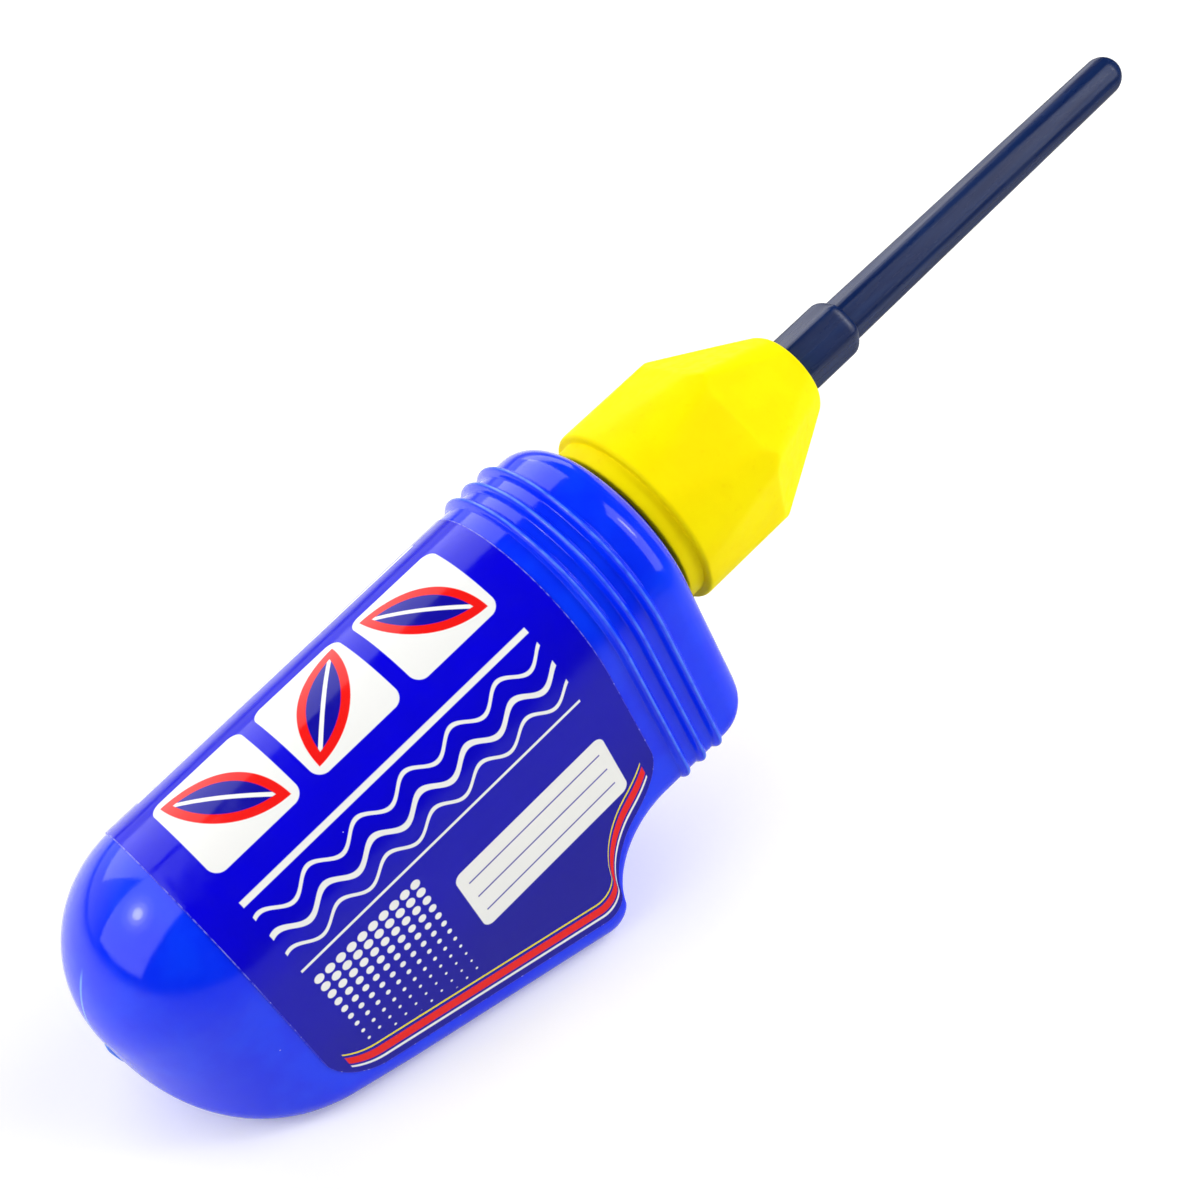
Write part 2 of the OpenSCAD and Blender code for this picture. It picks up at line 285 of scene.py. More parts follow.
def body_heights():
    """Heights of the outer rings, close together at the nose, the ribs and the shoulder."""
    nose = NOSE_U + TOE_ROUND * np.sin(np.linspace(-TILT, NOSE_JOIN, 16))
    recess = -RECESS_STATION - RECESS_RADIUS * np.cos(np.linspace(RECESS_START, math.pi / 2, 22))
    shoulder = -SHOULDER_ROUND * (1 - np.sin(np.linspace(0, math.pi / 2, 20)))
    return np.concatenate((
        dome_heights(0, 34)[:-1],
        np.linspace(-BODY_LENGTH + DOME_LENGTH, nose[0], 30)[:-1],
        nose,
        recess[:-1],
        np.arange(-RECESS_STATION, -SHOULDER_ROUND - 0.1, RIB_STEP),
        shoulder,
    ))


def circle(radius, height, count):
    """Ring about the neck axis that starts at the middle of the underside; the radius may differ by angle."""
    angle = np.linspace(0, ROUND, count, endpoint=False)
    return np.column_stack((radius * np.cos(angle), radius * np.sin(angle), np.full(count, height)))


def thread(height, start, ridge_widths, count):
    """Share of a helical ridge's rise at each angle of a ring."""
    root, crest = ridge_widths
    angle = np.linspace(0, ROUND, count, endpoint=False)
    rise = np.zeros(count)
    for turn in (0, 1):
        along = angle / ROUND + turn
        away = np.abs(height - start - THREAD_PITCH * along)
        ridge = smooth((root - away) / (root - crest))
        ends = smooth(np.minimum(along, THREAD_TURNS - along) / THREAD_FADE)
        rise = np.maximum(rise, ridge * ends)
    return rise


# Meshes

def rounded(corners, steps=6):
    """Profile through corners (height, radius, cut, spacing): each corner is cut back and bridged by a curve,
    and the stretch after it is divided into steps no longer than the spacing."""
    most_of_stretch = 0.49
    points = [np.array(corner[:2], float) for corner in corners]
    last = len(corners) - 1
    ends = []
    for i, (_, _, cut, _) in enumerate(corners):
        pair = [points[i], points[i]]
        if 0 < i < last and cut > 0:
            for k, other in enumerate((points[i - 1], points[i + 1])):
                reach = np.linalg.norm(other - points[i])
                pair[k] = points[i] + (other - points[i]) / reach * min(cut, most_of_stretch * reach)
        ends.append(pair)
    path = []
    for i, (_, _, _, spacing) in enumerate(corners):
        before, after = ends[i]
        if before is after:
            path.append(points[i])
        else:
            share = np.linspace(0, 1, steps + 1)[:, None]
            path.extend((1 - share) ** 2 * before + 2 * share * (1 - share) * points[i] + share ** 2 * after)
        if i < last:
            stretch = ends[i + 1][0] - after
            count = int(np.linalg.norm(stretch) / spacing)
            path.extend(after + stretch * k / (count + 1) for k in range(1, count + 1))
    return path


def new_object(name, vertices, faces, materials, sharp=40):
    """Object from points on the neck axis, with outward faces, shaded smooth but for steep edges."""
    placed = (np.asarray(vertices) @ NECK_TURN.T + NECK_PLACE) * MM
    mesh = bpy.data.meshes.new(name)
    mesh.from_pydata([tuple(v) for v in placed], [], faces)
    shape = bmesh.new()
    shape.from_mesh(mesh)
    bmesh.ops.recalc_face_normals(shape, faces=shape.faces)
    shape.to_mesh(mesh)
    shape.free()
    mesh.shade_smooth()
    mesh.set_sharp_from_angle(angle=math.radians(sharp))
    for material in materials:
        mesh.materials.append(material)
    piece = bpy.data.objects.new(name, mesh)
    bpy.context.scene.collection.objects.link(piece)
    return piece


def skin(name, rings, material, loop=False):
    """Mesh over a row of rings; a ring of one point is a pole, and a loop joins the last to the first."""
    starts = np.cumsum([0] + [len(ring) for ring in rings])
    pairs = [(i, i + 1) for i in range(len(rings) - 1)] + ([(len(rings) - 1, 0)] if loop else [])
    faces = []
    for a, b in pairs:
        count = max(len(rings[a]), len(rings[b]))
        for i in range(count):
            turn = ((a, i), (a, i + 1), (b, i + 1), (b, i))
            corners = dict.fromkeys(int(starts[ring] + k % len(rings[ring])) for ring, k in turn)
            faces.append(tuple(corners))
    return new_object(name, np.vstack(rings), faces, [material])


def dress(piece, body, slot, *nodes):
    """Puts a piece on its body and hides the solids that it stands for; the name of its finish is not used.
    """
    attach(piece, body)
    if nodes:
        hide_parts(*nodes)
    return piece


# Materials

class Nodes:
    """A node tree that is built step by step; each step gives a node's output."""

    def __init__(self, tree):
        self.tree = tree

    def feed(self, socket, value):
        if isinstance(value, bpy.types.NodeSocket):
            self.tree.links.new(value, socket)
        else:
            socket.default_value = value

    def node(self, kind, inputs=(), output=0, **settings):
        made = self.tree.nodes.new("ShaderNode" + kind)
        for key, value in settings.items():
            setattr(made, key, value)
        for key, value in dict(inputs).items():
            self.feed(made.inputs[key], value)
        return made.outputs[output]

    def math(self, operation, a, b=0.0, c=0.0):
        return self.node("Math", {0: a, 1: b, 2: c}, operation=operation)

    def span(self, value, low, high, to_low=0.0, to_high=1.0):
        """A value's way from low to high, smoothed and held at its ends."""
        inputs = {"Value": value, "From Min": low, "From Max": high, "To Min": to_low, "To Max": to_high}
        return self.node("MapRange", inputs, interpolation_type="SMOOTHSTEP")

    def blend(self, share, a, b):
        """Colour a where the share is 0, and b where it is 1."""
        return self.node("Mix", {0: share, 6: a, 7: b}, output=2, data_type="RGBA")


class Paint(Nodes):
    """A procedural material, placed by millimetres on its piece."""

    def __init__(self, name):
        self.material = bpy.data.materials.new(name)
        self.material.use_nodes = True
        super().__init__(self.material.node_tree)
        self.shader = self.tree.nodes["Principled BSDF"]

    def place(self, stretch=(1, 1, 1)):
        """Place on the piece in millimetres, with Z turned along the neck axis, squeezed along some axes."""
        where = self.node("TexCoord", output="Object")
        turn = {"Vector": where, "Angle": TILT - math.pi / 2}
        turned = self.node("VectorRotate", turn, rotation_type="Y_AXIS")
        scale = tuple(s / MM for s in stretch)
        return self.node("VectorMath", {0: turned, 1: scale}, operation="MULTIPLY")

    def noise(self, scale, detail=3.0, stretch=(1, 1, 1)):
        """Even noise from about 0.3 to 0.7, with a number of waves a millimetre."""
        return self.node("TexNoise", {"Vector": self.place(stretch), "Scale": scale, "Detail": detail})

    def bump(self, height, distance, normal=None):
        """Normal over a height of 0 to 1, of that distance in millimetres, on top of another normal."""
        inputs = {"Height": height, "Distance": distance * MM, "Strength": 1.0}
        if normal is not None:
            inputs["Normal"] = normal
        return self.node("Bump", inputs)

    def finish(self, **values):
        """Sets the shader's inputs, named with underscores for blanks."""
        for key, value in values.items():
            self.feed(self.shader.inputs[key.replace("_", " ")], value)
        return self.material


def specks(p, spacing, share, size):
    """1 on sparse round specks of dust, of a size in millimetres, and 0 elsewhere."""
    cells = {"Vector": p.place(), "Scale": 1 / spacing}
    near = p.node("TexVoronoi", cells, output="Distance")
    pick = p.node("SeparateXYZ", {0: p.node("TexVoronoi", cells, output="Color")})
    dot = p.span(near, size / spacing, 0.6 * size / spacing)
    return p.math("MULTIPLY", dot, p.math("LESS_THAN", pick, share))


def painted_seam_highlight(p, x, y, z):
    """1 along a painted highlight on the line where the mould closed, on the upper tail."""
    on_line = p.span(p.math("ABSOLUTE", y), 0.20, 0.08)
    on_tail = p.math("MULTIPLY", p.span(x, -29.2, -27.6), p.span(z, -18.0, -20.0))
    return p.math("MULTIPLY", on_line, on_tail)


def painted_crest_highlights(p, z):
    """Share of painted highlight along the crests of the ribs, uneven along their length."""
    pitch = RIB_STATIONS[1] - RIB_STATIONS[0]
    up = p.math("ADD", z, RIB_STATIONS[-1] - SHOULDER_PLACE)
    crest = p.span(p.math("PINGPONG", up, pitch / 2), 0.19, 0.04)
    on_ribs = p.math("LESS_THAN", p.math("ABSOLUTE", p.math("SUBTRACT", up, pitch)), 1.3 * pitch)
    patchy = p.span(p.noise(0.7, 4, (1, 1, 0.3)), 0.30, 0.65, 0.25, 0.65)
    return p.math("MULTIPLY", crest, p.math("MULTIPLY", on_ribs, patchy))


def blue_plastic():
    p = Paint("blue_plastic")
    flow = p.span(p.noise(0.16, 4), 0.35, 0.65)
    colour = p.blend(flow, (0.0008, 0.0260, 0.95, 1), (0.0016, 0.0420, 1.0, 1))
    x, y, z = (p.node("SeparateXYZ", {0: p.place()}, output=i) for i in range(3))
    # Painted highlight along the line where the mould closed
    colour = p.blend(p.math("MULTIPLY", painted_seam_highlight(p, x, y, z), 0.85), colour, (0.16, 0.40, 1.0, 1))
    # Painted highlight along the crests of the ribs
    colour = p.blend(painted_crest_highlights(p, z), colour, (0.10, 0.29, 1.0, 1))
    dust = specks(p, 2.2, 0.10, 0.09)
    colour = p.blend(p.math("MULTIPLY", dust, 0.55), colour, (0.45, 0.50, 0.95, 1))
    scuffs = p.span(p.noise(2.2, 5, (1, 1, 0.08)), 0.58, 0.72)
    haze = p.span(p.noise(0.5, 5), 0.3, 0.7, 0.075, 0.13)
    rough = p.math("MULTIPLY_ADD", scuffs, 0.10, haze)
    waves = p.bump(p.noise(0.13, 1), 0.05)
    peel = p.bump(p.noise(1.3, 2), 0.0022, waves)
    return p.finish(Base_Color=colour, Roughness=rough, Normal=peel, Specular_IOR_Level=0.45)


def yellow_plastic():
    p = Paint("yellow_plastic")
    flow = p.span(p.noise(0.22, 4), 0.35, 0.65)
    colour = p.blend(flow, (0.98, 0.79, 0.0006, 1), (1.0, 0.83, 0.0008, 1))
    grime = p.span(p.noise(1.1, 6), 0.60, 0.78, 0.0, 0.35)
    colour = p.blend(grime, colour, (0.92, 0.68, 0.001, 1))
    rough = p.span(p.noise(0.9, 5), 0.3, 0.7, 0.40, 0.54)
    grain = p.bump(p.noise(5.0, 3), 0.012)
    soft = p.bump(p.noise(0.35, 2), 0.035, grain)
    return p.finish(Base_Color=colour, Roughness=rough, Normal=soft, Specular_IOR_Level=0.03,
                    Subsurface_Weight=0.12, Subsurface_Radius=(1.0, 0.75, 0.1), Subsurface_Scale=0.0012)


def navy_plastic():
    p = Paint("navy_plastic")
    streaks = p.span(p.noise(1.4, 5, (1, 1, 0.06)), 0.35, 0.68)
    colour = p.blend(streaks, (0.0032, 0.0140, 0.0760, 1), (0.0062, 0.0220, 0.0980, 1))
    dust = p.span(p.noise(2.6, 6, (1, 1, 0.3)), 0.60, 0.80, 0.0, 0.30)
    colour = p.blend(dust, colour, (0.035, 0.060, 0.12, 1))
    rough = p.span(p.noise(0.9, 5, (1, 1, 0.2)), 0.3, 0.7, 0.20, 0.32)
    draw = p.bump(p.noise(3.2, 3, (1, 1, 0.05)), 0.010)
    grain = p.bump(p.noise(4.5, 3), 0.005, draw)
    return p.finish(Base_Color=colour, Roughness=rough, Normal=grain, Specular_IOR_Level=0.30)


def steel():
    p = Paint("drawn_steel")
    lines = p.noise(14.0, 4, (1, 1, 0.02))
    colour = p.blend(p.span(lines, 0.3, 0.7), (0.52, 0.53, 0.55, 1), (0.66, 0.67, 0.68, 1))
    rough = p.span(p.noise(3.0, 4, (1, 1, 0.1)), 0.3, 0.7, 0.18, 0.32)
    return p.finish(Base_Color=colour, Roughness=rough, Metallic=1.0, Normal=p.bump(lines, 0.004))


def foam():
    p = Paint("washer_foam")
    cells = p.node("TexVoronoi", {"Vector": p.place(), "Scale": 4.0})
    colour = p.blend(p.span(cells, 0.1, 0.7), (0.80, 0.80, 0.77, 1), (0.90, 0.90, 0.87, 1))
    rough = p.span(p.noise(2.0, 4), 0.3, 0.7, 0.70, 0.88)
    return p.finish(Base_Color=colour, Roughness=rough, Normal=p.bump(cells, 0.05))


def liquid():
    p = Paint("clear_cement")
    streaks = p.span(p.noise(0.25, 4, (1, 1, 0.4)), 0.35, 0.65)
    colour = p.blend(streaks, (0.96, 0.93, 0.82, 1), (0.985, 0.97, 0.90, 1))
    rough = p.span(p.noise(0.5, 2), 0.3, 0.7, 0.02, 0.05)
    return p.finish(Base_Color=colour, Roughness=rough, Transmission_Weight=0.9, IOR=1.39)


def film_edge():
    """Cut edge of the film: a fine light line near the ridge that breaks up further down."""
    p = Paint("label_film_edge")
    spot = p.node("Attribute", output="Vector", attribute_name="print")
    down = p.math("ABSOLUTE", p.node("SeparateXYZ", {0: spot}, output=1))
    wear = p.span(p.noise(1.5, 5), 0.38, 0.62)
    bits = p.span(p.noise(2.4, 4), 0.60, 0.68)
    light = p.blend(p.span(down, 11.0, 18.0), p.math("MULTIPLY", wear, 0.45), p.math("MULTIPLY", bits, 0.7))
    colour = p.blend(light, (0.006, 0.008, 0.66, 1), (0.40, 0.42, 0.95, 1))
    rough = p.span(p.noise(3.0, 3), 0.3, 0.7, 0.25, 0.40)
    return p.finish(Base_Color=colour, Roughness=rough)


def film():
    """Printed film: leaf tiles, waves, a bare panel, a field of dots, and stripes along the lower edge."""
    p = Paint("label_film")
    spot = p.node("Attribute", output="Vector", attribute_name="print")
    along, across, edge = (p.node("SeparateXYZ", {0: spot}, output=i) for i in range(3))
    down = p.math("ABSOLUTE", across)

    def inside(distance):
        return p.span(distance, 0.05, -0.05)

    def both(a, b):
        return p.math("MULTIPLY", a, b)

    def between(value, low, high):
        away = p.math("ABSOLUTE", p.math("SUBTRACT", value, (low + high) / 2))
        return inside(p.math("SUBTRACT", away, (high - low) / 2))

    def far(x, y):
        return p.math("SQRT", p.math("ADD", p.math("POWER", x, 2.0), p.math("POWER", y, 2.0)))

    def panel(x, y, half_x, half_y, radius):
        out_x, out_y = (
            p.math("MAXIMUM", p.math("SUBTRACT", p.math("ABSOLUTE", value), half - radius), 0.0)
            for value, half in ((x, half_x), (y, half_y)))
        return p.math("SUBTRACT", far(out_x, out_y), radius)

    # Ink that darkens down the sides, partly its own shade and partly painted shade, with the unevenness of a
    # press
    colour = p.blend(p.span(down, 7.0, 19.0), (0.0024, 0.0005, 0.72, 1), (0.0036, 0.0016, 0.46, 1))
    colour = p.blend(p.span(down, 19.0, 34.0), colour, (0.0050, 0.0030, 0.33, 1))
    colour = p.blend(p.span(p.noise(0.3, 4), 0.3, 0.7, 0.0, 0.12), colour, (0.0010, 0.0003, 0.30, 1))
    white = (0.90, 0.90, 0.88, 1)
    red = (0.88, 0.010, 0.008, 1)
    yellow = (0.97, 0.80, 0.004, 1)

    # A row of three tiles along the ridge, each leaf leaning the other way from the one before
    first, pitch, half, row = 8.6, 11.6, 5.0, 0.6
    cell = p.math("FLOOR", p.math("DIVIDE", p.math("SUBTRACT", along, first - pitch / 2), pitch))
    lean = p.math("MULTIPLY_ADD", p.math("MODULO", cell, 2.0), -2.0, 1.0)
    tile_x = p.math("SUBTRACT", p.math("SUBTRACT", along, first), p.math("MULTIPLY", cell, pitch))
    tile_y = p.math("SUBTRACT", across, row)
    in_row = between(along, first - pitch / 2, first + 2.5 * pitch)
    tile = both(inside(panel(tile_x, tile_y, half, half, 1.2)), in_row)
    leaf_x = p.math("MULTIPLY", tile_x, lean)
    corner = 4.3
    reach = [far(p.math("ADD", leaf_x, side * corner), p.math("SUBTRACT", tile_y, side * corner))
             for side in (1, -1)]
    leaf = p.math("SUBTRACT", p.math("MAXIMUM", reach[0], reach[1]), 1.97 * corner)
    vein = between(p.math("SUBTRACT", leaf_x, tile_y), -0.28, 0.28)
    leaf_red = both(tile, inside(leaf))
    leaf_blue = both(tile, inside(p.math("ADD", leaf, 0.85)))
    colour = p.blend(tile, colour, white)
    colour = p.blend(leaf_red, colour, red)
    colour = p.blend(leaf_blue, colour, (0.006, 0.004, 0.34, 1))
    colour = p.blend(both(leaf_blue, vein), colour, white)

    # Three wavy lines between two rules on each side, and a bare panel with lines to write on
    printed = between(along, 3.6, 36.9)
    rules = ((8.3, 8.9), (17.1, 17.4))
    waves = ((10.55, 10.95), (12.7, 13.3), (14.95, 15.35))
    wave_length, wave_height = 5.55, 0.7
    swing = p.math("SINE", p.math("MULTIPLY", along, ROUND / wave_length))
    wave = p.math("MULTIPLY_ADD", swing, -wave_height, down)
    for value, bands in ((down, rules), (wave, waves)):
        for low, high in bands:
            colour = p.blend(both(between(value, low, high), printed), colour, white)
    middle, half_length, half_height, corner_radius = (27.7, 26.3), 9.2, 3.9, 0.9
    field_x = p.math("SUBTRACT", along, middle[0])
    field_y = p.math("SUBTRACT", down, middle[1])
    field = inside(panel(field_x, field_y, half_length, half_height, corner_radius))
    colour = p.blend(field, colour, white)
    line_gap, margin = 2.1, 1.0
    lines = between(p.math("PINGPONG", p.math("ADD", field_y, line_gap), line_gap / 2), -0.1, 0.09)
    line_end = half_length - margin
    written = both(both(lines, between(field_y, -2.4, 2.4)), between(field_x, -line_end, line_end))
    colour = p.blend(both(written, field), colour, (0.10, 0.10, 0.42, 1))

    # A field of dots that shrink towards the foot
    grid = 1.25
    dot_x = p.math("SUBTRACT", p.math("FLOORED_MODULO", along, grid), grid / 2)
    dot_y = p.math("SUBTRACT", p.math("FLOORED_MODULO", down, grid), grid / 2)
    size = p.span(down, 18.5, 32.0, 0.50, 0.12)
    dots = inside(p.math("SUBTRACT", far(dot_x, dot_y), size))
    area = both(both(between(along, 3.75, 16.25), between(down, 18.75, 33.75)), p.span(edge, 3.5, 3.9))
    colour = p.blend(both(dots, area), colour, white)

    # Stripes that follow the lower edge
    ends = between(along, 1.6, 38.9)
    for low, high, ink in ((1.5, 2.5, red), (0.9, 1.2, white), (2.9, 3.1, yellow)):
        colour = p.blend(both(between(edge, low, high), ends), colour, ink)

    dust = specks(p, 3.0, 0.08, 0.08)
    colour = p.blend(p.math("MULTIPLY", dust, 0.5), colour, (0.62, 0.62, 0.86, 1))
    haze = p.span(p.noise(0.6, 5), 0.3, 0.7, 0.10, 0.17)
    lift = p.bump(p.noise(0.22, 2), 0.035)
    return p.finish(Base_Color=colour, Roughness=haze, Normal=p.bump(p.noise(2.5, 2), 0.0015, lift),
                    Specular_IOR_Level=0.32)


blue = blue_plastic()
gold = yellow_plastic()
navy = navy_plastic()


# Hollow bottle: the outside, the shoulder's deck, the threaded neck, its rim, the bore and the inside

def bottle():
    outside = [body_ring(u, 0.0, rib_rise(u)) for u in body_heights()]
    count = len(outside[0])
    pole = np.array([[DOME_DEPTH, 0.0, -BODY_LENGTH]])
    neck_path = rounded([
        (0.0, DECK_RING, 0, 1), (0.0, NECK_RADIUS, 0.5, 0.16), (NECK_HEIGHT, NECK_RADIUS, 0.45, 0.5),
        (NECK_HEIGHT, NECK_BORE, 0.4, 0.8), (-WALL, NECK_BORE, 0.5, 1), (-WALL, INNER_RING, 0, 1)])
    neck = []
    for height, radius in neck_path:
        on_outside = radius > NECK_RADIUS - HAIR
        ridge = thread(height, THREAD_START, NECK_RIDGE, count) if on_outside else 0.0
        neck.append(circle(radius + THREAD_RISE * ridge, height, count))
    inner = [body_ring(u, WALL) for u in body_heights()[::-2] - WALL if u > -BODY_LENGTH + DOME_LENGTH]
    inner += [body_ring(u, WALL) for u in dome_heights(WALL, 24)[::-1]]
    inner_pole = np.array([[DOME_DEPTH, 0.0, -BODY_LENGTH + WALL]])
    piece = skin("bottle_shell", [pole] + outside + neck + inner + [inner_pole], blue)
    return dress(piece, "bottle", "blue_plastic", "bottle_body")


def pinch_seam():
    """Thin fin where the mould pinched the tube shut, below the middle of the tail."""
    pole = (DOME_DEPTH, 0.0, -BODY_LENGTH)
    middle = np.array([pole] + [body_ring(u)[0] for u in dome_heights(0, 90)])
    run = np.concatenate(([0.0], np.cumsum(np.linalg.norm(np.diff(middle, axis=0), axis=1))))
    middle, run = middle[run < SEAM_LENGTH], run[run < SEAM_LENGTH]
    way = np.gradient(middle[:, (0, 2)], axis=0)
    out = np.column_stack((way[:, 1], -way[:, 0])) / np.linalg.norm(way, axis=1)[:, None]
    shape = SEAM_HALF + ((0.0, 1.0),) + tuple((-side, high) for side, high in reversed(SEAM_HALF))
    fade = smooth(np.minimum(run, run[-1] - run) / SEAM_FADE)
    rings = []
    for point, normal, share in zip(middle, out, fade):
        lifts = [SEAM_RISE * (high * share - SEAM_SINK * (1 - share)) for _, high in shape]
        rings.append(np.array([(point[0] + normal[0] * lift, side, point[2] + normal[1] * lift)
                               for (side, _), lift in zip(shape, lifts)]))
    tips = [ring.mean(axis=0)[None] for ring in (rings[0], rings[-1])]
    piece = skin("bottle_pinch_seam", tips[:1] + rings[1:-1] + tips[1:], blue)
    return dress(piece, "bottle", "blue_plastic")


# Label: an outer and an inner sheet joined round their edges, with the print's coordinates on its points

def label_depth(u):
    def corner_rise(x):
        if x >= LABEL_CORNER:
            return 0.0
        return LABEL_CORNER - math.sqrt(LABEL_CORNER ** 2 - (LABEL_CORNER - max(0.0, x)) ** 2)
    return depth(u) - LABEL_MARGIN - corner_rise(u + LABEL_BACK) - corner_rise(-LABEL_FRONT - u)


def label_row(u, grow):
    """Points across the label at a height, and their [along, across, distance from the lower edge]."""
    r = top_radius(u) + grow
    low = label_depth(u)
    normal = np.array((math.cos(SIDE_NORMAL), math.sin(SIDE_NORMAL)))
    foot = np.array((low, (r - low * normal[0]) / normal[1]))
    border = mix(foot, r * normal, LABEL_BORDER / np.linalg.norm(r * normal - foot))
    straight = np.vstack((foot, line(border, r * normal, 26)[:-1]))
    top = arc((0, 0), r, SIDE_NORMAL, ROUND - SIDE_NORMAL, 72)
    path = np.vstack((straight, top, (straight * (1, -1))[::-1]))
    run = np.concatenate(([0.0], np.cumsum(np.linalg.norm(np.diff(path, axis=0), axis=1))))
    along = np.full(len(path), u + LABEL_BACK)
    printed = np.column_stack((along, run - run[-1] / 2, np.minimum(run, run[-1] - run)))
    return domed(path, u, 0), printed


def label_heights():
    """Heights of the label's rows: round corners, the toe's nose, the recess, and a border at each end."""
    near_border, after_corner, before_nose, before_front = 0.05, 0.7, 0.3, 0.2
    flank_step = 0.75
    recess_end = math.radians(58)
    corner = LABEL_CORNER * (1 - np.cos(np.linspace(0, math.pi / 2, 16)))
    corner = np.sort(np.append(corner[np.abs(corner - LABEL_BORDER) > near_border], LABEL_BORDER))
    nose = NOSE_U + TOE_ROUND * np.sin(np.linspace(-TILT, NOSE_JOIN, 14))
    front = -LABEL_FRONT - corner[::-1]
    recess = -RECESS_STATION - RECESS_RADIUS * np.cos(np.linspace(RECESS_START, recess_end, 12))
    recess = recess[recess < front[0] - before_front]
    flank = np.arange(-LABEL_BACK + LABEL_CORNER + after_corner, nose[0] - before_nose, flank_step)
    return np.concatenate((corner - LABEL_BACK, flank, nose, recess, front))


def label():
    """Film with its print on the outer sheet, and a bare border where the cut edge shows."""
    sheets, prints = [], []
    heights = label_heights()
    for grow in (LABEL_GAP + LABEL_THICKNESS, LABEL_GAP):
        rows = [label_row(u, grow) for u in heights]
        sheets.append(np.vstack([row[0] for row in rows]))
        prints.append(np.vstack([row[1] for row in rows]))
    rows, columns = len(heights), len(sheets[0]) // len(heights)
    size = rows * columns
    last_row = int(np.searchsorted(heights, -LABEL_FRONT - LABEL_BORDER - HAIR))
    first_row = int(np.searchsorted(heights, -LABEL_BACK + LABEL_BORDER - HAIR))
    faces, bare = [], []
    for offset in (0, size):
        for i in range(rows - 1):
            for j in range(columns - 1):
                a = offset + i * columns + j
                faces.append((a, a + 1, a + columns + 1, a + columns))
                bare.append(i < first_row or i >= last_row or j in (0, columns - 2))
    rim = (list(range(columns)) + [i * columns + columns - 1 for i in range(1, rows)]
           + [(rows - 1) * columns + j for j in range(columns - 2, -1, -1)]
           + [i * columns for i in range(rows - 2, 0, -1)])
    faces += [(a, b, b + size, a + size) for a, b in zip(rim, rim[1:] + rim[:1])]
    bare += [True] * len(rim)
    piece = new_object("wrap_film", np.vstack(sheets), faces, [film(), film_edge()])
    piece.data.polygons.foreach_set("material_index", np.array(bare, np.int32))
    stored = piece.data.attributes.new("print", "FLOAT_VECTOR", "POINT")
    stored.data.foreach_set("vector", np.vstack(prints).astype(np.float32).ravel())
    return dress(piece, "bottle", "label_film", "wrap_label")


# Screw collar: band, round rim, six flats, six facets, spigot, and the threaded hollow inside

def six_sided(angle, distance):
    """Radius of six flat faces at a distance from the axis."""
    turn = math.pi / 3
    return distance / np.cos((angle - FLAT_NORMAL + turn / 2) % turn - turn / 2)


def collar_flat(height):
    """Distance of the six sides from the axis: drafted planes that leave the round rim, then lean in."""
    if height > COLLAR_TOP - HAIR:
        return COLLAR_TOP_RADIUS
    draft = (COLLAR_RADIUS + FLAT_MARGIN - FLAT_DISTANCE) / (FACET_HEIGHT - RIM_HEIGHT)
    lean = (FLAT_DISTANCE - COLLAR_TOP_RADIUS + FLAT_MARGIN) / (COLLAR_TOP - FACET_HEIGHT)
    up_to_ridge = FACET_HEIGHT - height
    return FLAT_DISTANCE + float(soft_min(draft * up_to_ridge, lean * up_to_ridge, RIDGE_SOFTNESS))


def collar():
    count = 240
    angle = np.linspace(0, ROUND, count, endpoint=False)
    outer = rounded([
        (COLLAR_BASE, FOOT_RING, 0, 1), (COLLAR_BASE, BAND_RADIUS, 0.25, 0.6),
        (RIM_HEIGHT, BAND_RADIUS, 0.15, 0.3), (RIM_HEIGHT, COLLAR_RADIUS, 0.5, 0.3),
        (FACET_HEIGHT, COLLAR_RADIUS, 0, 0.2), (CONE_HEIGHT, COLLAR_RADIUS, 0.3, 0.3),
        (COLLAR_TOP, COLLAR_TOP_RADIUS, 0.4, 0.6), (COLLAR_TOP, SPIGOT_RADIUS, 0.3, 1)])
    spigot = rounded([
        (COLLAR_TOP, SPIGOT_RADIUS, 0.3, 1), (SPIGOT_END, SPIGOT_RADIUS - SPIGOT_DRAFT, 0.25, 1),
        (SPIGOT_END, NEEDLE_RADIUS + NEEDLE_FIT, 0.1, 2), (WELL_TOP, NEEDLE_RADIUS + NEEDLE_FIT, 0.1, 1),
        (WELL_TOP, PASSAGE, 0.2, 1), (COLLAR_DECK, WELL_RADIUS, 0.3, 1),
        (COLLAR_DECK, COLLAR_BORE, 0.2, 0.2)])
    bore = rounded([
        (COLLAR_DECK, COLLAR_BORE, 0, 0.2), (COLLAR_BASE, COLLAR_BORE, 0.25, 1),
        (COLLAR_BASE, FOOT_RING, 0, 1)])
    rings = []
    for height, radius in outer[:-1]:
        sides = six_sided(angle, collar_flat(height))
        shaped = height > RIM_HEIGHT and radius > COLLAR_TOP_RADIUS - COLLAR_TOP_EDGE
        around = soft_min(np.full(count, radius), sides, FLAT_SOFTNESS) if shaped else radius
        rings.append(circle(around, height, count))
    rings += [circle(radius, height, count) for height, radius in spigot[:-1]]
    for height, radius in bore[:-1]:
        ridge = thread(height, THREAD_START + THREAD_PITCH / 2, COLLAR_RIDGE, count)
        rings.append(circle(radius - THREAD_RISE * ridge, height, count))
    return dress(skin("screw_nozzle", rings, gold, loop=True), "nozzle", "yellow_plastic", "screw_collar")


def needle():
    path = rounded([(NEEDLE_BASE, NEEDLE_RING, 0, 1), (NEEDLE_BASE, NEEDLE_RADIUS, 0.04, 1.5),
                    (NEEDLE_TIP, NEEDLE_RADIUS, 0.06, 1), (NEEDLE_TIP, NEEDLE_BORE, 0.04, 1.5),
                    (NEEDLE_BASE, NEEDLE_BORE, 0.04, 1), (NEEDLE_BASE, NEEDLE_RING, 0, 1)], steps=3)
    rings = [circle(radius, height, 40) for height, radius in path[:-1]]
    return dress(skin("needle", rings, steel(), loop=True), "nozzle", "steel", "needle_tube")


